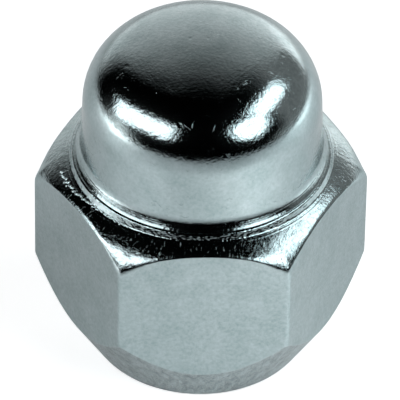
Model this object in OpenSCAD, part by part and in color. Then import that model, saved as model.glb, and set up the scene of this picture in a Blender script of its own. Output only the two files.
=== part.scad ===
// Closed-end wheel lug nut with a conical seat.
//
// The real nut is a single piece of steel: forged with its hexagon and domed
// cap, turned at the seat and round the foot of the dome, drilled and tapped
// from below, and chrome plated all over. So it is one solid here too.
//
// Millimetres. The nut's axis is Z, its open seat end is at z = 0 and the dome
// is up. Two of the flats face -Y and +Y.

/* [Wrench hexagon] */
// Distance across opposite flats
across_flats = 21; // [20.5:0.25:22]
// Radius along the six upright edges
upright_edge_r = 0.5; // [0.3:0.1:0.9]
// Slope of the crowned chamfer where it leaves the rim, in degrees from level
chamfer_slope = 23.5; // [21:0.5:26]
// Radius of the chamfer's crown, as a share of the distance across the flats
chamfer_crown = 0.333; // [0.31:0.01:0.4]

/* [Conical seat] */
// Included angle of the seat, in degrees
seat_angle = 60; // [56:1:64]
// Diameter of the seat at the open end
seat_end_d = 16; // [15.25:0.25:16.5]
// Radius round the open end's outer edge
seat_edge_r = 0.4; // [0.2:0.1:0.6]

/* [Domed cap] */
// Height of the whole nut
overall_h = 26.8; // [26.2:0.1:28]
// Diameter of the cap where the straight wall meets the dome
cap_d = 17.2; // [16.6:0.1:17.3]
// Draft of the cap's wall, in degrees
cap_draft = 2; // [0.5:0.5:2.5]
// Radius of the dome's shoulder
dome_shoulder_r = 4.9; // [4.2:0.1:5.6]
// Radius of the dome's crown
dome_crown_r = 16.8; // [14:0.2:20]

/* [Turned rim] */
// Height of the rim at the foot of the cap
rim_h = 16.8; // [16.5:0.1:17.2]
// How far the rim stands above the chamfer's inner edge
rim_step = 0.45; // [0.3:0.05:0.6]
// Outside diameter of the rim
rim_d = 18.8; // [18.6:0.1:19.1]
// Width of the rim
rim_w = 0.2; // [0.15:0.05:0.3]
// Radius of the fillet between the cap's wall and the rim
foot_fillet_r = 1.6; // [1.4:0.1:1.9]

/* [Threaded hole] */
// Thread's nominal diameter
thread_d = 12; // [12:0.5:12.5]
// Thread's pitch
thread_pitch = 1.5; // [1.25:0.25:1.75]
// Depth of the drilled hole, without the drill's point
hole_depth = 20; // [17:0.5:20.5]
// Angle of the drill's point, in degrees
drill_point = 118; // [110:1:130]
// Diameter of the countersink at the mouth
mouth_d = 12.8; // [12.6:0.1:13.6]
// Included angle of the countersink, in degrees
mouth_angle = 90; // [80:5:100]

/* [Hidden] */
// A cut reaches this far past the face that it opens
clear = 1;
// Angle between the points along an arc
arc_step = 6;
$fn = 96;

// Hexagon: the flats' distance from the axis, the centres of the upright
// edges' arcs, and how far the rounded corners reach
flat_r = across_flats / 2;
edge_centre_r = (flat_r - upright_edge_r) / cos(30);
corner_r = edge_centre_r + upright_edge_r;

// Turned envelope: it stands a little outside the corners, so the corners
// run out on the chamfer's crown and never touch its upright side
envelope_r = corner_r + 0.1;
rim_r = rim_d / 2;
crowned_r = across_flats * chamfer_crown;
chamfer_centre_r = rim_r - crowned_r * sin(chamfer_slope);
chamfer_centre_h = rim_h - rim_step - crowned_r * cos(chamfer_slope);
chamfer_end = acos((envelope_r - chamfer_centre_r) / crowned_r);

// Seat: the cone starts at the edge arc's tangent point and runs out at the envelope
seat_half = seat_angle / 2;
seat_end_r = seat_end_d / 2;
seat_arc_r = seat_end_r - seat_edge_r * tan((90 - seat_half) / 2);
seat_top_h = (envelope_r - seat_end_r) / tan(seat_half);

// Cap: wall, shoulder arc and crown arc are tangent to one another
cap_r = cap_d / 2;
shoulder_centre_r = cap_r - dome_shoulder_r * cos(cap_draft);
crown_centre_h = overall_h - dome_crown_r;
shoulder_reach = dome_crown_r - dome_shoulder_r;
shoulder_tilt = asin(shoulder_centre_r / shoulder_reach);
shoulder_centre_h = crown_centre_h + shoulder_reach * cos(shoulder_tilt);
wall_top_h = shoulder_centre_h + dome_shoulder_r * sin(cap_draft);

// Foot of the cap: the fillet is tangent to the drafted wall and ends at the
// rim's inner edge, a height foot_rise below the fillet's centre
land_r = rim_r - rim_w;
foot_span = cap_r + (wall_top_h - rim_h) * tan(cap_draft)
    + foot_fillet_r / cos(cap_draft) - land_r;
foot_rise = cos(cap_draft) * (sin(cap_draft) * foot_span
    + sqrt(pow(foot_fillet_r, 2) - pow(cos(cap_draft) * foot_span, 2)));
foot_centre_r = land_r + foot_span - foot_rise * tan(cap_draft);
foot_centre_h = rim_h + foot_rise;
foot_end_angle = asin(foot_rise / foot_fillet_r);

// Hole: the drilled wall is the thread's minor diameter
bore_r = (thread_d - 1.0825 * thread_pitch) / 2;
mouth_r = mouth_d / 2;
mouth_h = (mouth_r - bore_r) / tan(mouth_angle / 2);
point_h = bore_r / tan(drill_point / 2);

// Points along an arc round the centre c, from angle a to angle b, a step of
// about arc_step degrees apart, with both ends on the arc
function arc(c, r, a, b) = let (steps = ceil(abs(b - a) / arc_step))
    [for (i = [0:steps]) let (t = a + (b - a) * i / steps) c + r * [cos(t), sin(t)]];

// Half of the turned outline, from the open end up to the top of the dome:
// radius runs along X and height along Y
function turned_outline() = concat(
    [[0, 0]],
    arc([seat_arc_r, seat_edge_r], seat_edge_r, -90, -seat_half),
    [[envelope_r, seat_top_h]],
    arc([chamfer_centre_r, chamfer_centre_h], crowned_r, chamfer_end, 90 - chamfer_slope),
    [[rim_r, rim_h]],
    arc([foot_centre_r, foot_centre_h], foot_fillet_r, 180 + foot_end_angle, 180 + cap_draft),
    arc([shoulder_centre_r, shoulder_centre_h], dome_shoulder_r, cap_draft, 90 - shoulder_tilt),
    arc([0, crown_centre_h], dome_crown_r, 90 - shoulder_tilt, 90)
);

// Wrench hexagon: an arc on each of the six edges, the flats between them
function hexagon() = [for (edge = [0:60:300])
    each arc(edge_centre_r * [cos(edge), sin(edge)], upright_edge_r, edge - 30, edge + 30)];

// Drilled hole with its countersunk mouth and the drill's conical end
module tapped_hole() {
    translate([0, 0, -clear]) cylinder(h = hole_depth + clear, r = bore_r);
    translate([0, 0, hole_depth]) cylinder(h = point_h, r1 = bore_r, r2 = 0);
    translate([0, 0, -clear])
        cylinder(h = mouth_h + clear, r1 = mouth_r + clear * tan(mouth_angle / 2), r2 = bore_r);
}

// The nut: the turned outline cut to the hexagon below the rim, less the hole
module lug_nut() {
    color([0.77, 0.79, 0.79])
    difference() {
        intersection() {
            rotate_extrude() polygon(turned_outline());
            translate([0, 0, -clear])
                linear_extrude(height = overall_h + 2 * clear) polygon(hexagon());
        }
        tapped_hole();
    }
}

lug_nut();
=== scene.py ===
import math

import bmesh
import bpy
import numpy as np
from mathutils import Matrix, Vector


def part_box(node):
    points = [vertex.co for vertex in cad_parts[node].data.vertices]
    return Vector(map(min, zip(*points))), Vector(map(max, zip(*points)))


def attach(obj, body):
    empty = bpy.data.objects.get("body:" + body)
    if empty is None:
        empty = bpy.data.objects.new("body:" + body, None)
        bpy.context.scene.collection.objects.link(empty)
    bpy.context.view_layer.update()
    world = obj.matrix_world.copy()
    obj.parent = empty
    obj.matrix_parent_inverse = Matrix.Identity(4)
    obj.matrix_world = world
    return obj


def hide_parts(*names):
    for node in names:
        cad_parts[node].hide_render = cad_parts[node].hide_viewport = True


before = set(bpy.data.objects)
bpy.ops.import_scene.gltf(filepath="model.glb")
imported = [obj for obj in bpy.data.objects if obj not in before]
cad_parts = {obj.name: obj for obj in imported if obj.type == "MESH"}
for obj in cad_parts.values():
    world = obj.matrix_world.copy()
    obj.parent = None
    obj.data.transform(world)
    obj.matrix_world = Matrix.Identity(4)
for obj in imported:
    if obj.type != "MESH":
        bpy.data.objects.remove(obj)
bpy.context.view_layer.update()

# ---------------------------------------------------------------------------
# Driving sizes, in millimetres, each as the workshop drawing has it
# ---------------------------------------------------------------------------

MM = 0.001

nut_low, nut_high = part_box("lug_nut")
across_flats = (nut_high.y - nut_low.y) / MM
across_corners = (nut_high.x - nut_low.x) / MM
overall_h = (nut_high.z - nut_low.z) / MM

# Crowned chamfer: the forging die leaves its outer border rolled over, then creased
chamfer_slope = math.radians(23.5)
chamfer_crown_r = across_flats * 0.333
border_r = 0.8
corner_border_r = 4.0
border_tilt = math.radians(54)
corner_border_tilt = math.radians(58)
crease_r = 0.12
corner_crease_r = 1.1
bottom_lip_r = 0.25

# Conical seat
seat_half = math.radians(30)
seat_end_r = 8.0
seat_edge_r = 0.4

# Domed cap
cap_r = 8.6
cap_draft = math.radians(2)
shoulder_r = 4.9
crown_r = 16.8

# Rim turned at the foot of the cap
rim_h = 16.8
rim_step = 0.45
rim_r = 9.4
rim_w = 0.22
bead_r = 0.21
rim_draft = math.radians(19.5)
rim_root_r = 0.25
foot_start_h = 17.85
flare_r = 1.5
flare_tilt = math.radians(27)
sweep_r = 1.9

# Tapped hole, M12 x 1.5
thread_r = 6.0
thread_pitch = 1.5
bore_r = thread_r - 1.0825 * thread_pitch / 2
hole_depth = 20.0
drill_half = math.radians(59)
mouth_r = 6.4
tapped_depth = 17.6

# Burr that the turning tool rolled out along part of the rim, from angle to angle in degrees
BURR_FROM = 187.0
BURR_TO = 236.0
BURR_START_R = 9.53
BURR_OUT = 0.67
BURR_HALF_W = 0.1
BURR_HIGH = 0.05
BURR_SAW = 0.085
BURR_WIGGLE = 0.03

# ---------------------------------------------------------------------------
# Sizes that follow from them
# ---------------------------------------------------------------------------

flat_r = across_flats / 2
corner_r = across_corners / 2
# an edge arc of radius e sits on a centre at (flat_r - e) / cos 30, and reaches corner_r
edge_r = (flat_r - corner_r * math.cos(math.pi / 6)) / (1 - math.cos(math.pi / 6))
edge_centre_r = corner_r - edge_r
edge_span = math.pi / 6

chamfer_centre_r = rim_r - chamfer_crown_r * math.sin(chamfer_slope)
chamfer_centre_h = rim_h - rim_step - chamfer_crown_r * math.cos(chamfer_slope)

seat_arc_r = seat_end_r - seat_edge_r * math.tan((math.pi / 2 - seat_half) / 2)

shoulder_centre_r = cap_r - shoulder_r * math.cos(cap_draft)
crown_centre_h = overall_h - crown_r
shoulder_tilt = math.asin(shoulder_centre_r / (crown_r - shoulder_r))
shoulder_centre_h = crown_centre_h + (crown_r - shoulder_r) * math.cos(shoulder_tilt)
wall_top_h = shoulder_centre_h + shoulder_r * math.sin(cap_draft)

# The cap's foot leaves the wall on one arc and sweeps out to the rim's bead on a longer one
foot_start_r = cap_r + (wall_top_h - foot_start_h) * math.tan(cap_draft)
flare_end_r = foot_start_r + flare_r * (math.cos(cap_draft) - math.cos(flare_tilt))
flare_end_h = foot_start_h - flare_r * (math.sin(flare_tilt) - math.sin(cap_draft))
groove_r = rim_r - rim_w
sweep_end = math.acos(math.cos(flare_tilt) - (groove_r - flare_end_r) / sweep_r)

point_h = bore_r / math.tan(drill_half)

# ---------------------------------------------------------------------------
# The nut's surface
# ---------------------------------------------------------------------------


def smooth(x, start, end):
    """0 before start, 1 after end, and 3s^2 - 2s^3 of the share s between."""
    s = np.clip((x - start) / (end - start), 0, 1)
    return s * s * (3 - 2 * s)


def spread(count, hold=(0.004, 0.03)):
    """Values from 0 to 1 in even steps, with extra ones held close to both ends."""
    inner = np.linspace(0, 1, count + 1)
    near = np.array(hold)
    return np.unique(np.round(np.concatenate([inner, near, 1 - near]), 6))


def column_angles(arc_steps=10, flat_steps=14):
    """Angles round the axis. On each edge's arc they are those of points at even turns of
    the arc, atan2(e sin t, c + e cos t) with c the arc centre's distance and e its radius.
    On each flat they are those of points at even distances along it."""
    turn = np.linspace(-edge_span, edge_span, arc_steps + 1)
    on_arc = np.arctan2(edge_r * np.sin(turn), edge_centre_r + edge_r * np.cos(turn))
    half_flat = edge_centre_r * math.sin(math.pi / 6)
    along = (spread(flat_steps, (0.006, 0.03)) * 2 - 1) * half_flat
    on_flat = np.arctan2(along, flat_r) + math.pi / 6
    sixth = np.concatenate([on_arc, on_flat[1:-1]])
    return (sixth[None, :] + np.arange(6)[:, None] * math.pi / 3).ravel()


def hexagon_radius(theta):
    """Distance from the axis to the hexagon's wall at each angle: flat_r / cos of the angle
    from the flat's middle, or on an edge's arc the far root of the circle's equation."""
    off = np.abs((theta + math.pi / 6) % (math.pi / 3) - math.pi / 6)
    arc_end = math.atan2(edge_r * math.sin(edge_span), edge_centre_r + edge_r * math.cos(edge_span))
    chord = np.sqrt(np.maximum(edge_r ** 2 - (edge_centre_r * np.sin(off)) ** 2, 0))
    on_arc = edge_centre_r * np.cos(off) + chord
    return np.where(off > arc_end, flat_r / np.cos(math.pi / 6 - off), on_arc)


def arc_rows(centre_r, centre_h, radius, start, end, steps):
    """Rows along an arc of the section: centre plus radius times (cos a, sin a), where a
    goes from start to end in even steps. Any of the sizes may differ from column to column."""
    share = np.linspace(0, 1, steps + 1)[:, None]
    a = start + (end - start) * share
    return centre_r + radius * np.cos(a), centre_h + radius * np.sin(a)


def line_rows(from_r, from_h, to_r, to_h, share):
    """Rows along a straight line of the section, at the given shares of its length."""
    s = share[:, None]
    return from_r + (to_r - from_r) * s, from_h + (to_h - from_h) * s


def turned_cap():
    """Dome, wall, foot and rim, from just off the pole down to the chamfer: tangent arcs and
    lines turned about the axis. The rim is rounded over, with a drafted side and a small root
    radius into the chamfer. Each entry is a finish and its rows."""
    crown = arc_rows(0, crown_centre_h, crown_r, math.pi / 2 - 0.002, math.pi / 2 - shoulder_tilt, 34)
    shoulder = arc_rows(shoulder_centre_r, shoulder_centre_h, shoulder_r,
                        math.pi / 2 - shoulder_tilt, cap_draft, 40)
    wall = line_rows(cap_r, wall_top_h, foot_start_r, foot_start_h, spread(10))
    flare_centre_r = foot_start_r + flare_r * math.cos(cap_draft)
    flare_centre_h = foot_start_h + flare_r * math.sin(cap_draft)
    flare = arc_rows(flare_centre_r, flare_centre_h, flare_r, math.pi + cap_draft, math.pi + flare_tilt, 8)
    sweep_centre_r = flare_end_r + sweep_r * math.cos(flare_tilt)
    sweep_centre_h = flare_end_h + sweep_r * math.sin(flare_tilt)
    sweep = arc_rows(sweep_centre_r, sweep_centre_h, sweep_r,
                     math.pi + flare_tilt, math.pi + sweep_end, 12)
    bead = arc_rows(rim_r - bead_r, rim_h - bead_r, bead_r, math.pi / 2, rim_draft, 10)
    # the root's centre is its radius off the rim's side and off the chamfer's arc: it starts
    # beside the bead and slides down along the side until it reaches the second distance
    root_span = chamfer_crown_r + rim_root_r
    start_out = rim_r - bead_r + (bead_r + rim_root_r) * math.cos(rim_draft) - chamfer_centre_r
    start_up = rim_h - bead_r + (bead_r + rim_root_r) * math.sin(rim_draft) - chamfer_centre_h
    ahead = start_up * math.cos(rim_draft) - start_out * math.sin(rim_draft)
    slide = ahead - math.sqrt(ahead ** 2 - start_out ** 2 - start_up ** 2 + root_span ** 2)
    root_r = chamfer_centre_r + start_out + slide * math.sin(rim_draft)
    root_h = chamfer_centre_h + start_up - slide * math.cos(rim_draft)
    root_tilt = math.asin((root_r - chamfer_centre_r) / root_span)
    root = arc_rows(root_r, root_h, rim_root_r, math.pi + rim_draft, 1.5 * math.pi - root_tilt, 5)
    return [("dome", crown), ("dome", shoulder), ("dome", wall), ("dome", flare), ("turned", sweep),
            ("torn", bead), ("torn", root)], root_tilt


def hexagon_body(theta, start_tilt):
    """Chamfer, its rolled border and crease, the flat, lower lip and conical seat. The chamfer
    is an arc about its centre, the border an arc of radius B that takes over where it must so
    that a crease of radius C ends upright on the hexagon's wall, both larger at the corners:
    wall = s + B (sin t2 - sin t1) + C (1 - sin t2), with sin t1 = (s - centre) / crown radius
    at the chamfer's end s, and t2 the border's last tilt, a little steeper at the corners."""
    wall = hexagon_radius(theta)
    blunt = smooth(wall, flat_r + 0.3 * (corner_r - flat_r), corner_r)
    border = border_r + (corner_border_r - border_r) * blunt
    crease = crease_r + (corner_crease_r - crease_r) * blunt
    last_tilt = border_tilt + (corner_border_tilt - border_tilt) * blunt
    last = np.sin(last_tilt)
    end_r = ((wall - border * last - border * chamfer_centre_r / chamfer_crown_r
              - crease * (1 - last)) / (1 - border / chamfer_crown_r))
    end_tilt = np.arcsin((end_r - chamfer_centre_r) / chamfer_crown_r)
    chamfer = arc_rows(chamfer_centre_r, chamfer_centre_h, chamfer_crown_r,
                       math.pi / 2 - start_tilt, math.pi / 2 - end_tilt, 18)
    border_centre_r = end_r - border * np.sin(end_tilt)
    border_centre_h = (chamfer_centre_h + (chamfer_crown_r - border) * np.cos(end_tilt))
    border_band = arc_rows(border_centre_r, border_centre_h, border,
                           math.pi / 2 - end_tilt, math.pi / 2 - last_tilt, 6)
    crease_centre_r = wall - crease
    crease_centre_h = border_centre_h + (border - crease) * np.cos(last_tilt)
    crease_band = arc_rows(crease_centre_r, crease_centre_h, crease, math.pi / 2 - last_tilt, 0, 5)

    low_r = wall - bottom_lip_r
    low_h = ((low_r - seat_end_r + bottom_lip_r / math.cos(seat_half)) / math.tan(seat_half))
    flat = line_rows(wall, crease_centre_h, wall, low_h, spread(16, (0.004, 0.02)))
    low_lip = arc_rows(low_r, low_h, bottom_lip_r, 0, -seat_half, 5)
    cone_top_r = low_r + bottom_lip_r * math.cos(seat_half)
    cone_top_h = low_h - bottom_lip_r * math.sin(seat_half)
    cone_end_r = seat_arc_r + seat_edge_r * math.cos(seat_half)
    cone_end_h = seat_edge_r - seat_edge_r * math.sin(seat_half)
    cone = line_rows(cone_top_r, cone_top_h, cone_end_r, cone_end_h, spread(16))
    rounding = arc_rows(seat_arc_r, seat_edge_r, seat_edge_r, -seat_half, -math.pi / 2, 6)
    return [("forged", chamfer), ("forged", border_band), ("forged", crease_band), ("pressed", flat),
            ("pressed", low_lip), ("seat", cone), ("seat", rounding)]


def open_end():
    """The flat open end and the countersink down to the first turn of the thread."""
    face = line_rows(seat_arc_r, 0, mouth_r, 0, spread(3))
    sink = line_rows(mouth_r, 0, thread_r + 0.05, mouth_r - thread_r - 0.05, spread(3, (0.02,)))
    return [("seat", face), ("bore", sink)]


def thread_rows(theta, steps=10):
    """The tapped thread: a vertex of turn k and profile place v stands at height
    pitch * (k + v + angle / 360 degrees), so the rows climb with the helix, and its radius
    goes from the bore to the major radius along 60 degree flanks with a flat at the root and
    another at the crest. In the countersink the cone wins where it is wider, heights beyond
    the two ends are held there, and the depth fades out over the last turn."""
    start = mouth_r - thread_r - 0.05
    turns = math.ceil((tapped_depth - start) / thread_pitch) + 3
    corners = np.array([0, 1 / 16, 3 / 8, 5 / 8, 15 / 16])
    place = np.sort(np.concatenate([corners, np.linspace(1 / 16, 3 / 8, steps // 2)[1:-1],
                                    np.linspace(5 / 8, 15 / 16, steps // 2)[1:-1]]))
    v = (np.arange(turns)[:, None] + place[None, :]).ravel()
    profile = np.interp(v % 1, [0, 1 / 16, 3 / 8, 5 / 8, 15 / 16, 1], [1, 1, 0, 0, 1, 1])
    height = start + thread_pitch * (v[:, None] - 1 + theta[None, :] / (2 * math.pi))
    h = np.clip(height, start, tapped_depth)
    fade = np.clip((tapped_depth - h) / thread_pitch, 0, 1)
    depth = (thread_r - bore_r) * profile[:, None] * fade * fade * (3 - 2 * fade)
    r = np.maximum(bore_r + depth, mouth_r - h)
    r = np.where(height <= start, mouth_r - start, r)
    return (r, h), len(place)


def hole_end():
    """The plain end of the bore above the thread and the cone left by the drill's point,
    up to just off its tip."""
    plain = line_rows(bore_r, tapped_depth, bore_r, hole_depth, spread(2))
    cone = line_rows(bore_r, hole_depth, 0.02, hole_depth + point_h - 0.02 / math.tan(drill_half),
                     spread(8))
    return [("bore", plain), ("bore", cone)]


FINISHES = ["dome", "turned", "torn", "forged", "pressed", "seat", "bore"]


def build_nut():
    """One closed skin: rows of rings from the pole of the dome, over the outside and the open
    end, up the bore to the drill's tip. Quads join each ring to the next, a fan closes each
    pole, and round the thread the last column joins the first one turn further up."""
    theta = column_angles()
    columns = len(theta)
    thread, per_turn = thread_rows(theta)
    cap, chamfer_start = turned_cap()
    bands = cap + hexagon_body(theta, chamfer_start) + open_end() + [("bore", thread)] + hole_end()
    r = np.concatenate([np.broadcast_to(b[0], (len(b[0]), columns)) for _, b in bands])
    h = np.concatenate([np.broadcast_to(b[1], (len(b[1]), columns)) for _, b in bands])
    finish = np.concatenate([np.full(len(b[0]), FINISHES.index(name)) for name, b in bands])
    count = [len(b[0]) for _, b in bands]
    first_thread = sum(count[:-3])
    last_thread = first_thread + count[-3] - 1

    rows = len(r)
    points = np.stack([r * np.cos(theta), r * np.sin(theta), h], axis=-1).reshape(-1, 3)
    poles = np.array([[0, 0, overall_h], [0, 0, hole_depth + point_h]])
    points = np.concatenate([points, poles]) * MM

    ring = np.arange(columns)
    step = np.arange(rows - 1)
    i, j = np.meshgrid(step, ring[:-1], indexing="ij")
    quads = np.stack([i * columns + j, (i + 1) * columns + j,
                      (i + 1) * columns + j + 1, i * columns + j + 1], axis=-1).reshape(-1, 4)
    band_of = finish[i + 1].ravel()
    # the last column joins the first: level rings outside the thread, a turn up inside it
    level = step[(step < first_thread) | (step >= last_thread)]
    climb = np.arange(first_thread, last_thread - per_turn)
    low = np.concatenate([level, climb])
    lift = np.concatenate([np.zeros(len(level), int), np.full(len(climb), per_turn)])
    end = columns - 1
    seam = np.stack([low * columns + end, (low + 1) * columns + end,
                     (low + 1 + lift) * columns, (low + lift) * columns], axis=-1)
    top, tip = rows * columns, rows * columns + 1
    following = (ring + 1) % columns
    last = (rows - 1) * columns
    crown_fan = np.stack([np.full(columns, top), ring, following], axis=-1)
    point_fan = np.stack([last + ring, np.full(columns, tip), last + following], axis=-1)

    mesh = bpy.data.meshes.new("chrome_lug_nut")
    faces = quads.tolist() + seam.tolist() + crown_fan.tolist() + point_fan.tolist()
    mesh.from_pydata(points.tolist(), [], faces)
    slots = np.concatenate([band_of, finish[low + 1], np.full(columns, FINISHES.index("dome")),
                            np.full(columns, FINISHES.index("bore"))])
    mesh.polygons.foreach_set("material_index", slots.astype(np.int32))
    mesh.polygons.foreach_set("use_smooth", np.ones(len(faces), dtype=bool))
    work = bmesh.new()
    work.from_mesh(mesh)
    bmesh.ops.remove_doubles(work, verts=work.verts, dist=1e-8)
    bmesh.ops.dissolve_degenerate(work, edges=work.edges, dist=1e-9)
    work.to_mesh(mesh)
    work.free()
    nut = bpy.data.objects.new("chrome_lug_nut", mesh)
    bpy.context.collection.objects.link(nut)
    return nut


def build_burr(steps=640, around=4):
    """The torn edge that the turning tool rolled out over the chamfer: a thin ridge along a
    path r(t) = start + out * (1 - smooth) + a saw of three sines, sin x + sin 2x / 2 + sin 3x / 3,
    + a small wiggle, laid on the chamfer's arc, with x = 1.85 t + 1.2 sin 0.9 t so that the
    teeth are uneven. Its cross-section is a flat diamond sunk to half its height that closes
    to a point at both ends."""
    t = np.linspace(BURR_FROM, BURR_TO, steps)
    path_r = BURR_START_R + BURR_OUT * (1 - smooth(t, 186, 222))
    x = t * 1.85 + 1.2 * np.sin(t * 0.9)
    saw = np.sin(x) + np.sin(2 * x) / 2 + np.sin(3 * x) / 3
    path_r = path_r + BURR_SAW * saw * (1 - 0.7 * smooth(t, 200, 222))
    path_r = path_r + BURR_WIGGLE * np.sin(t * 5.3 + 1)
    angle = np.radians(t)
    path_h = chamfer_centre_h + np.sqrt(chamfer_crown_r ** 2 - (path_r - chamfer_centre_r) ** 2)
    centre = np.stack([path_r * np.cos(angle), path_r * np.sin(angle), path_h], axis=-1)
    along = np.gradient(centre, axis=0)
    along = along / np.linalg.norm(along, axis=1, keepdims=True)
    tilt = np.arcsin((path_r - chamfer_centre_r) / chamfer_crown_r)
    up = np.stack([np.sin(tilt) * np.cos(angle), np.sin(tilt) * np.sin(angle), np.cos(tilt)], axis=-1)
    aside = np.cross(along, up)
    share = np.linspace(0, 1, steps)
    thick = (0.7 + 0.3 * np.sin(t * 7.7)) * np.clip(np.minimum(share, 1 - share) * 40, 0, 1) + 0.001
    turn = np.linspace(0, 2 * math.pi, around, endpoint=False)
    ring = (aside[:, None, :] * np.cos(turn)[None, :, None] * BURR_HALF_W
            + up[:, None, :] * np.sin(turn)[None, :, None] * BURR_HIGH)
    points = (centre[:, None, :] + ring * thick[:, None, None]).reshape(-1, 3) * MM
    i, j = np.meshgrid(np.arange(steps - 1), np.arange(around), indexing="ij")
    k = (j + 1) % around
    walls = np.stack([i * around + j, i * around + k, (i + 1) * around + k, (i + 1) * around + j],
                     axis=-1).reshape(-1, 4)
    ends = [list(range(around))[::-1], list(range((steps - 1) * around, steps * around))]
    mesh = bpy.data.meshes.new("rolled_burr")
    mesh.from_pydata(points.tolist(), [], walls.tolist() + ends)
    work = bmesh.new()
    work.from_mesh(mesh)
    bmesh.ops.recalc_face_normals(work, faces=work.faces)
    work.to_mesh(mesh)
    work.free()
    made = bpy.data.objects.new("rolled_burr", mesh)
    bpy.context.collection.objects.link(made)
    return made


# ---------------------------------------------------------------------------
# Materials
# ---------------------------------------------------------------------------


def rgb(value):
    """An sRGB hex colour as linear red, green, blue and alpha."""
    parts = [int(value[k:k + 2], 16) / 255 for k in (1, 3, 5)]
    return [p / 12.92 if p <= 0.04045 else ((p + 0.055) / 1.055) ** 2.4 for p in parts] + [1]


def add(tree, kind, sockets=None, links=None, **settings):
    """Adds one node: settings are its properties, sockets its input values, links its inputs'
    sources."""
    new = tree.nodes.new(kind)
    for name, value in settings.items():
        setattr(new, name, value)
    for name, value in (sockets or {}).items():
        new.inputs[name].default_value = value
    for name, source in (links or {}).items():
        tree.links.new(source, new.inputs[name])
    return new


def new_material(name):
    """An empty node material."""
    material = bpy.data.materials.new(name)
    material.use_nodes = True
    material.node_tree.nodes.clear()
    return material, material.node_tree


CHROME = "#C4D2D4"
CHROME_DEEP = "#A3B5B6"


def relief(tree, layers):
    """Bump upon bump. Each layer is a height from 0 to 1 and how deep it goes in micrometres,
    and the first one lies under the others."""
    normal = None
    for height, depth_um in layers:
        links = {"Height": height}
        if normal is not None:
            links["Normal"] = normal
        bump = add(tree, "ShaderNodeBump", {"Strength": 1.0, "Distance": depth_um * MM * MM}, links)
        normal = bump.outputs["Normal"]
    return normal


def plate(tree, where, roughness, layers, speckle=0.5, deep=CHROME_DEEP, patchy=None):
    """The plate itself: a metal over the given relief. Its colour drifts in clouds of two
    millimetres and in specks of a quarter of one, the size of the steel's grain under it, or
    in the given patches instead of specks. Speckle is the specks' share."""
    cloud = add(tree, "ShaderNodeTexNoise", {"Scale": 1 / (2.0 * MM), "Detail": 2.0}, {"Vector": where})
    fine = patchy
    if fine is None:
        speck = add(tree, "ShaderNodeTexNoise",
                    {"Scale": 1 / (0.26 * MM), "Detail": 2.0, "Roughness": 0.7}, {"Vector": where})
        fine = speck.outputs["Fac"]
    drift = add(tree, "ShaderNodeMix", {0: speckle}, {2: cloud.outputs["Fac"], 3: fine}, data_type="FLOAT")
    depth = add(tree, "ShaderNodeMapRange", {"From Min": 0.3, "From Max": 0.7}, {"Value": drift.outputs[0]})
    tone = add(tree, "ShaderNodeMix", {6: rgb(deep), 7: rgb(CHROME)}, {0: depth.outputs[0]},
               data_type="RGBA")
    skin = add(tree, "ShaderNodeBsdfPrincipled", {"Metallic": 1.0, "Roughness": roughness},
               {"Base Color": tone.outputs[2], "Normal": relief(tree, layers)})
    add(tree, "ShaderNodeOutputMaterial", None, {"Surface": skin.outputs["BSDF"]})


def round_axis(tree, where):
    """Distance from the nut's axis, height, and angle round the axis, in metres and radians."""
    split = add(tree, "ShaderNodeSeparateXYZ", None, {0: where})
    level = add(tree, "ShaderNodeCombineXYZ", None, {0: split.outputs[0], 1: split.outputs[1]})
    out = add(tree, "ShaderNodeVectorMath", None, {0: level.outputs[0]}, operation="LENGTH")
    angle = add(tree, "ShaderNodeMath", None, {0: split.outputs[1], 1: split.outputs[0]},
                operation="ARCTAN2")
    return out.outputs["Value"], split.outputs[2], angle.outputs[0]


def formed_dome():
    """Bright chromium on a cold formed and tumbled cap. The steel was never polished, so the
    plate keeps its orange peel of about a quarter millimetre and a few knocks: edges of what
    it mirrors fray, while broad areas stay clear."""
    material, tree = new_material("chrome_on_formed_dome")
    where = add(tree, "ShaderNodeTexCoord").outputs["Object"]
    swell = add(tree, "ShaderNodeTexNoise", {"Scale": 1 / (2.4 * MM), "Detail": 2.0, "Roughness": 0.5},
                {"Vector": where})
    peel = add(tree, "ShaderNodeTexNoise", {"Scale": 1 / (0.24 * MM), "Detail": 3.0, "Roughness": 0.6},
               {"Vector": where})
    # hairlines run where a slow noise crosses its middle value, and only in patches
    slow = add(tree, "ShaderNodeTexNoise", {"Scale": 1 / (0.9 * MM), "Detail": 2.0, "Distortion": 1.2},
               {"Vector": where})
    off = add(tree, "ShaderNodeMath", {1: 0.5}, {0: slow.outputs["Fac"]}, operation="SUBTRACT")
    near = add(tree, "ShaderNodeMath", None, {0: off.outputs[0]}, operation="ABSOLUTE")
    line = add(tree, "ShaderNodeMapRange",
               {"From Min": 0.0, "From Max": 0.02, "To Min": 1.0, "To Max": 0.0},
               {"Value": near.outputs[0]}, interpolation_type="SMOOTHSTEP")
    patch = add(tree, "ShaderNodeTexNoise", {"Scale": 1 / (0.7 * MM), "Detail": 1.0}, {"Vector": where})
    kept = add(tree, "ShaderNodeMapRange", {"From Min": 0.6, "From Max": 0.66},
               {"Value": patch.outputs["Fac"]}, interpolation_type="SMOOTHSTEP")
    hairline = add(tree, "ShaderNodeMath", None, {0: line.outputs[0], 1: kept.outputs[0]},
                   operation="MULTIPLY")
    layers = [(swell.outputs["Fac"], 22), (peel.outputs["Fac"], 16), (hairline.outputs[0], -4)]
    for angle, tilt, size_mm, deep_um in KNOCKS:
        spot = dome_point(angle, tilt)
        away = add(tree, "ShaderNodeVectorMath", {1: spot}, {0: where}, operation="DISTANCE")
        bowl = add(tree, "ShaderNodeMapRange", {"From Min": 0.0, "From Max": size_mm * MM, "To Min": 0.0,
                                                "To Max": 1.0},
                   {"Value": away.outputs["Value"]}, interpolation_type="SMOOTHSTEP")
        layers.append((bowl.outputs[0], deep_um))
    plate(tree, where, 0.1, layers)
    return material


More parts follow.
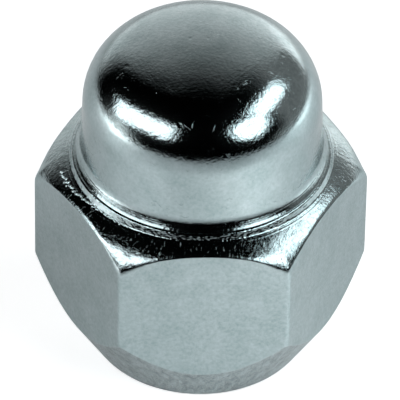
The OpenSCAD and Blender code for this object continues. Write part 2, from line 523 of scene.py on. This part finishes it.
def turned_rim(name, ring_um, chatter_um):
    """Chromium on a lathe-turned foot and rim. The tool left rings a quarter millimetre apart in
    the foot and tore the rim and its burr: streaks of light break up into fine lines and sparks."""
    material, tree = new_material(name)
    where = add(tree, "ShaderNodeTexCoord").outputs["Object"]
    out, height, angle = round_axis(tree, where)
    slant = add(tree, "ShaderNodeMath", None, {0: out, 1: height}, operation="SUBTRACT")
    ring = add(tree, "ShaderNodeTexNoise", {"Scale": 1 / (0.26 * MM), "Detail": 2.0, "Roughness": 0.6},
               {"W": slant.outputs[0]}, noise_dimensions="1D")
    chatter = add(tree, "ShaderNodeTexNoise", {"Scale": 1 / (0.24 * MM), "Detail": 1.0, "Roughness": 0.5},
                  {"Vector": where})
    plate(tree, where, 0.11, [(ring.outputs["Fac"], ring_um), (chatter.outputs["Fac"], chatter_um)])
    return material


def forged_chamfer():
    """Chromium on forged scale. The die's face left grains of a third of a millimetre and short
    radial marks, and the first millimetre beside the rim has turned rings: lamps smear into
    speckled patches."""
    material, tree = new_material("chrome_on_forged_chamfer")
    where = add(tree, "ShaderNodeTexCoord").outputs["Object"]
    out, height, angle = round_axis(tree, where)
    swell = add(tree, "ShaderNodeTexNoise", {"Scale": 1 / (1.5 * MM), "Detail": 2.0, "Roughness": 0.5},
                {"Vector": where})
    grain = add(tree, "ShaderNodeTexNoise", {"Scale": 1 / (0.3 * MM), "Detail": 4.0, "Roughness": 0.65},
                {"Vector": where})
    ring = add(tree, "ShaderNodeTexNoise", {"Scale": 1 / (0.16 * MM), "Detail": 1.0},
               {"W": out}, noise_dimensions="1D")
    inner = add(tree, "ShaderNodeMapRange", {"From Min": 9.75 * MM, "From Max": 9.9 * MM, "To Min": 1.0,
                                             "To Max": 0.0},
                {"Value": out}, interpolation_type="SMOOTHSTEP")
    rings = add(tree, "ShaderNodeMath", None, {0: ring.outputs["Fac"], 1: inner.outputs[0]},
                operation="MULTIPLY")
    # radial marks: a noise stretched four times along the radius, kept where it is highest
    across = add(tree, "ShaderNodeMath", {1: 10.0}, {0: angle}, operation="MULTIPLY")
    outward = add(tree, "ShaderNodeMath", {1: 250.0}, {0: out}, operation="MULTIPLY")
    strip = add(tree, "ShaderNodeCombineXYZ", None, {0: across.outputs[0], 1: outward.outputs[0]})
    mark = add(tree, "ShaderNodeTexNoise", {"Scale": 7.5, "Detail": 2.0, "Distortion": 1.0},
               {"Vector": strip.outputs[0]})
    marks = add(tree, "ShaderNodeMapRange", {"From Min": 0.68, "From Max": 0.72},
                {"Value": mark.outputs["Fac"]}, interpolation_type="SMOOTHSTEP")
    plate(tree, where, 0.11, [(swell.outputs["Fac"], 30), (grain.outputs["Fac"], 28),
                              (rings.outputs[0], 20), (marks.outputs[0], 24)])
    return material


def pressed_flats():
    """Chromium on die-pressed wrench flats. They are dull and almost even, with a slow unevenness
    of a few millimetres, a faint grain, and scattered pits."""
    material, tree = new_material("chrome_on_pressed_flats")
    where = add(tree, "ShaderNodeTexCoord").outputs["Object"]
    swell = add(tree, "ShaderNodeTexNoise", {"Scale": 1 / (3.5 * MM), "Detail": 2.0, "Roughness": 0.5},
                {"Vector": where})
    grain = add(tree, "ShaderNodeTexNoise", {"Scale": 1 / (0.35 * MM), "Detail": 4.0, "Roughness": 0.65},
                {"Vector": where})
    pit = add(tree, "ShaderNodeTexVoronoi", {"Scale": 1 / (1.6 * MM), "Randomness": 1.0}, {"Vector": where})
    pits = add(tree, "ShaderNodeMapRange", {"From Min": 0.0, "From Max": 0.075},
               {"Value": pit.outputs["Distance"]}, interpolation_type="SMOOTHSTEP")
    layers = [(swell.outputs["Fac"], 30), (grain.outputs["Fac"], 22), (pits.outputs[0], 20)]
    plate(tree, where, 0.2, layers, 0.65)
    return material


def turned_seat():
    """Chromium on a rough-turned 60 degree seat, left unpolished to grip the wheel. Its grain of
    half a millimetre is stretched down the slope, so the cone looks frosted and streaked."""
    material, tree = new_material("chrome_on_turned_seat")
    where = add(tree, "ShaderNodeTexCoord").outputs["Object"]
    out, height, angle = round_axis(tree, where)
    across = add(tree, "ShaderNodeMath", {1: 10.0}, {0: angle}, operation="MULTIPLY")
    down = add(tree, "ShaderNodeMath", {1: 420.0}, {0: height}, operation="MULTIPLY")
    strip = add(tree, "ShaderNodeCombineXYZ", None, {0: across.outputs[0], 1: down.outputs[0]})
    streak = add(tree, "ShaderNodeTexNoise",
                 {"Scale": 2.3, "Detail": 4.0, "Roughness": 0.65, "Distortion": 0.6},
                 {"Vector": strip.outputs[0]})
    grain = add(tree, "ShaderNodeTexNoise", {"Scale": 1 / (0.4 * MM), "Detail": 4.0, "Roughness": 0.7},
                {"Vector": where})
    plate(tree, where, 0.22, [(streak.outputs["Fac"], 160), (grain.outputs["Fac"], 70)], 0.85,
          "#728183", streak.outputs["Fac"])
    return material


def tapped_bore():
    """Thin plate on a tapped thread, satin and a little uneven, with the tap's fine rings."""
    material, tree = new_material("plated_steel_thread")
    where = add(tree, "ShaderNodeTexCoord").outputs["Object"]
    out, height, angle = round_axis(tree, where)
    ring = add(tree, "ShaderNodeTexNoise", {"Scale": 1 / (0.15 * MM), "Detail": 2.0}, {"W": height},
               noise_dimensions="1D")
    grain = add(tree, "ShaderNodeTexNoise", {"Scale": 1 / (0.3 * MM), "Detail": 3.0}, {"Vector": where})
    plate(tree, where, 0.35, [(ring.outputs["Fac"], 6), (grain.outputs["Fac"], 10)])
    return material


# Knocks in the dome: angle round the axis and tilt from the top, in degrees, radius in
# millimetres, and depth in micrometres
KNOCKS = [(153, 3.5, 0.22, 14), (50, 2, 0.2, 12), (194, 23.6, 0.3, 14), (357, 24, 0.25, 12),
          (74, 20, 0.15, 12), (255, 42.7, 0.25, 12), (292, 48, 0.3, 14)]


def dome_point(angle, tilt):
    """The point of the dome whose surface leans by tilt: on the crown's arc up to the tilt where
    the shoulder's arc takes over, in metres."""
    a = math.radians(angle)
    t = math.radians(tilt)
    if t < shoulder_tilt:
        r = crown_r * math.sin(t)
        h = crown_centre_h + crown_r * math.cos(t)
    else:
        r = shoulder_centre_r + shoulder_r * math.sin(t)
        h = shoulder_centre_h + shoulder_r * math.cos(t)
    return (r * math.cos(a) * MM, r * math.sin(a) * MM, h * MM)


dome_chrome = formed_dome()
turned_chrome = turned_rim("chrome_on_turned_foot", 26, 14)
torn_chrome = turned_rim("chrome_on_torn_rim", 2, 38)
burr_chrome = turned_rim("chrome_on_rolled_burr", 1, 6)
forged_chrome = forged_chamfer()
pressed_chrome = pressed_flats()
seat_chrome = turned_seat()
bore_steel = tapped_bore()

nut = build_nut()
# in the order of FINISHES
for finish_material in (dome_chrome, turned_chrome, torn_chrome, forged_chrome, pressed_chrome,
                        seat_chrome, bore_steel):
    nut.data.materials.append(finish_material)
burr = build_burr()
burr.data.materials.append(burr_chrome)
for piece in (nut, burr):
    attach(piece, "root")
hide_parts("lug_nut")

# ---------------------------------------------------------------------------
# Studio. Directions are taken from the nut: azimuth round from +X of the camera's own frame,
# which is turned a little from the nut's, and elevation up from the floor.
# ---------------------------------------------------------------------------

VIEW_TURN = math.radians(-2.055)


def direction(azimuth, elevation):
    """Unit vector of a studio direction, in the nut's frame."""
    a = math.radians(azimuth) + VIEW_TURN
    e = math.radians(elevation)
    return Vector((math.cos(e) * math.cos(a), math.cos(e) * math.sin(a), math.sin(e)))


FLOOR_FRONT = 0.3
FLOOR_SIDE = 0.55
# The board lies this far under the nut's end, so the two faces never meet
FLOOR_GAP = 0.02 * MM
TENT_R = 0.85
BOARD_LIFT = 0.65
MIRRORED_LIFT = 0.05

# White acrylic board with a polished top. To the camera it is lifted to white, and a little of
# that reaches what the chrome mirrors; what is lit, shaded and mirrored on it stays.
floor_material, tree = new_material("white_acrylic_board")
path = add(tree, "ShaderNodeLightPath")
to_eye = add(tree, "ShaderNodeMath", {1: BOARD_LIFT}, {0: path.outputs["Is Camera Ray"]},
             operation="MULTIPLY")
to_metal = add(tree, "ShaderNodeMath", None,
               {0: path.outputs["Is Glossy Ray"], 1: path.outputs["Is Transmission Ray"]}, operation="ADD")
lift = add(tree, "ShaderNodeMath", {1: MIRRORED_LIFT}, {0: to_metal.outputs[0], 2: to_eye.outputs[0]},
           operation="MULTIPLY_ADD")
board = add(tree, "ShaderNodeBsdfPrincipled",
            {"Base Color": rgb("#E8E8E8"), "Roughness": 0.32, "IOR": 1.49})
glow = add(tree, "ShaderNodeEmission", {"Color": (1, 1, 1, 1)}, {"Strength": lift.outputs[0]})
both = add(tree, "ShaderNodeAddShader", None, {0: board.outputs[0], 1: glow.outputs[0]})
add(tree, "ShaderNodeOutputMaterial", None, {"Surface": both.outputs[0]})


def sheet(name, corners, material):
    """A flat four-cornered sheet of the studio."""
    mesh = bpy.data.meshes.new(name)
    mesh.from_pydata([tuple(c) for c in corners], [], [tuple(range(len(corners)))])
    made = bpy.data.objects.new(name, mesh)
    made.data.materials.append(material)
    bpy.context.collection.objects.link(made)
    return made


front = direction(270, 0)
aside = direction(0, 0)
under = Vector((0, 0, -FLOOR_GAP))
floor_corners = [under + aside * across + front * ahead
                 for across, ahead in ((-FLOOR_SIDE, FLOOR_FRONT), (FLOOR_SIDE, FLOOR_FRONT),
                                       (FLOOR_SIDE, -FLOOR_SIDE), (-FLOOR_SIDE, -FLOOR_SIDE))]
sheet("floor_board", floor_corners, floor_material)


def tent_light(azimuth, elevation):
    """Brightness of the tent in a direction. A pale back wall fades upwards as
    (1 - elevation / 72)^1.3 and to the left and glows low on its right, a grey side wall stands
    to the right of it, a gap lets light in low on the left, and the rest is black cloth."""
    az = azimuth % 360
    el = elevation
    fade_up = np.clip(1 - np.maximum(el, 0) / 72, 0, 1) ** 1.3
    right_end = 45 + 0.75 * np.clip(el, 0, 22)
    left_end = 134 - 0.2 * np.clip(el, 0, 70)
    across = smooth(az, right_end - 3, right_end + 3) * (1 - smooth(az, left_end - 14, left_end + 12))
    slope = 1.15 - 0.12 * smooth(az, 60, 95) - 0.15 * smooth(az, 95, 125)
    low_glow = 0.55 * (1 - smooth(el, 10, 32)) * (1 - smooth(az, 62, 90))
    back = (fade_up * slope + low_glow) * across
    from_right = (az + 40) % 360 - 40
    higher = smooth(el, 4, 9)
    grey = 0.2 * smooth(from_right, -28 + 12 * higher, -14 + 14 * higher) * (1.4 - 0.4 * higher)
    grey = grey * (1 - smooth(from_right, right_end - 3, right_end + 3)) * (1 - smooth(el, 42, 62))
    gap = (1.3 * (1 - smooth(el, 0, 15)) + 0.25) * (1 - smooth(el, 16, 26))
    gap = gap * np.exp(-((az - 189) / 12) ** 2)
    above = smooth(el, -1, 1)
    return (back + grey + gap) * above


def build_tent(columns=240, rows=120):
    """A sphere round the set, facing inwards, that carries the tent's light as a colour on its
    corners."""
    az = np.linspace(0, 360, columns, endpoint=False)
    el = np.linspace(-90, 90, rows)
    e, a = np.meshgrid(np.radians(el), np.radians(az) + VIEW_TURN, indexing="ij")
    points = TENT_R * np.stack([np.cos(e) * np.cos(a), np.cos(e) * np.sin(a), np.sin(e)], axis=-1)
    i, j = np.meshgrid(np.arange(rows - 1), np.arange(columns), indexing="ij")
    k = (j + 1) % columns
    faces = np.stack([i * columns + j, (i + 1) * columns + j, (i + 1) * columns + k, i * columns + k],
                     axis=-1).reshape(-1, 4)
    mesh = bpy.data.meshes.new("light_tent")
    mesh.from_pydata(points.reshape(-1, 3).tolist(), [], faces.tolist())
    light = tent_light(*np.meshgrid(az, el, indexing="xy"))
    colour = np.repeat(light.ravel()[:, None], 4, axis=1)
    colour[:, 3] = 1
    layer = mesh.color_attributes.new("tent_light", "FLOAT_COLOR", "POINT")
    layer.data.foreach_set("color", colour.ravel())
    made = bpy.data.objects.new("light_tent", mesh)
    bpy.context.collection.objects.link(made)
    return made


tent = build_tent()
tent_material, tree = new_material("tent_cloth")
shade = add(tree, "ShaderNodeAttribute", attribute_name="tent_light")
cloth = add(tree, "ShaderNodeEmission", {"Strength": 1.0}, {"Color": shade.outputs["Color"]})
add(tree, "ShaderNodeOutputMaterial", None, {"Surface": cloth.outputs[0]})
tent.data.materials.append(tent_material)
tent.visible_camera = False


def soft_lamp(name, azimuth, elevation, distance, half_w, half_h, turn, radiance, tint,
              shape="RECTANGLE", straight_down=False, mirrored=True):
    """An area lamp facing the nut, or facing the board under it. Its half sizes are shares of
    its distance and turn tips its long side; power is pi times radiance times area. One that
    isn't mirrored lights only the board."""
    place = direction(azimuth, elevation) * distance + Vector((0, 0, 13 * MM))
    out = Vector((0, 0, 1)) if straight_down else direction(azimuth, elevation)
    side = direction(azimuth - 90, 0)
    up = side.cross(out)
    t = math.radians(turn)
    long_way = side * math.cos(t) + up * math.sin(t)
    data = bpy.data.lights.new(name, "AREA")
    data.shape = shape
    data.color = rgb(tint)[:3]
    data.size = 2 * half_w * distance
    data.size_y = 2 * half_h * distance
    area = data.size * data.size_y * (1 if shape == "RECTANGLE" else math.pi / 4)
    data.energy = math.pi * radiance * area
    lamp = bpy.data.objects.new(name, data)
    basis = Matrix((long_way, out.cross(long_way), out)).transposed()
    lamp.matrix_world = Matrix.Translation(place) @ basis.to_4x4()
    lamp.visible_camera = False
    lamp.visible_glossy = mirrored
    bpy.context.collection.objects.link(lamp)
    return lamp


LEFT_LIGHT = 2.6
RIGHT_REAR_LIGHT = 2.6
RIGHT_FRONT_LIGHT = 2.8
LEFT_SPOT = 25.0
LEFT_NEAR_SPOT = 3.8
RIGHT_SPOT = 16.0
RIGHT_NEAR_SPOT = 6.5
FRONT_LEFT_SPOT = 1.2
FRONT_RIGHT_SPOT = 7.6
soft_lamp("left_softbox", 204.5, 31.6, 0.36, 0.55, 0.2, -19, LEFT_LIGHT, "#F8FCFF")
soft_lamp("right_rear_softbox", 6.6, 46.4, 0.32, 0.33, 0.17, 13, RIGHT_REAR_LIGHT, "#F0FBFF")
soft_lamp("right_front_softbox", 323.5, 34.8, 0.4, 0.3, 0.27, 0, RIGHT_FRONT_LIGHT, "#F0FBFF",
          "ELLIPSE")
soft_lamp("left_board_spot", 188, 10, 0.23, 0.17, 0.17, 0, LEFT_SPOT, "#FFFFFF",
          straight_down=True, mirrored=False)
soft_lamp("left_near_spot", 186, 25, 0.12, 0.17, 0.17, 0, LEFT_NEAR_SPOT, "#FFFFFF",
          straight_down=True, mirrored=False)
soft_lamp("right_near_spot", 5, 27, 0.1, 0.17, 0.17, 0, RIGHT_NEAR_SPOT, "#F6FDFF",
          straight_down=True, mirrored=False)
soft_lamp("front_left_spot", 238, 25, 0.04, 0.2, 0.2, 0, FRONT_LEFT_SPOT, "#FFFFFF",
          straight_down=True, mirrored=False)
soft_lamp("front_right_spot", 304, 25, 0.04, 0.2, 0.2, 0, FRONT_RIGHT_SPOT, "#FFFFFF",
          straight_down=True, mirrored=False)
soft_lamp("right_board_spot", 14, 12, 0.19, 0.17, 0.17, 0, RIGHT_SPOT, "#F6FDFF",
          straight_down=True, mirrored=False)

world = bpy.data.worlds.new("studio_white")
world.use_nodes = True
tree = world.node_tree
tree.nodes.clear()
path = add(tree, "ShaderNodeLightPath")
seen = add(tree, "ShaderNodeMath", None,
           {0: path.outputs["Is Camera Ray"], 1: path.outputs["Is Glossy Ray"]}, operation="ADD")
through = add(tree, "ShaderNodeMath", None, {0: seen.outputs[0], 1: path.outputs["Is Transmission Ray"]},
              operation="ADD")
sky = add(tree, "ShaderNodeBackground", {"Color": (1, 1, 1, 1)}, {"Strength": through.outputs[0]})
add(tree, "ShaderNodeOutputWorld", None, {"Surface": sky.outputs[0]})
bpy.context.scene.world = world
bpy.context.scene.view_settings.view_transform = "Standard"

# ---------------------------------------------------------------------------
# Camera: a long lens looking down at the nut, tipped by a degree
# ---------------------------------------------------------------------------

CAMERA_EL = 41.232
CAMERA_DISTANCE = 444.5
CAMERA_ROLL = 0.967
CAMERA_PIVOT_H = 13.263
AIM_H = 11.877
AIM_ASIDE = -0.052
LENS = 552.0
aim = Vector((0, 0, AIM_H * MM)) + direction(0, 0) * (AIM_ASIDE * MM)
back = direction(270, CAMERA_EL)
eye = Vector((0, 0, CAMERA_PIVOT_H * MM)) + back * CAMERA_DISTANCE * MM
camera_data = bpy.data.cameras.new("camera")
camera_data.lens = LENS
camera_data.sensor_width = 36
camera_data.clip_start = 0.05
camera = bpy.data.objects.new("camera", camera_data)
turned = (aim - eye).to_track_quat("-Z", "Y").to_matrix().to_4x4()
camera.matrix_world = (Matrix.Translation(eye) @ turned
                       @ Matrix.Rotation(math.radians(CAMERA_ROLL), 4, "Z"))
bpy.context.collection.objects.link(camera)
bpy.context.scene.camera = camera
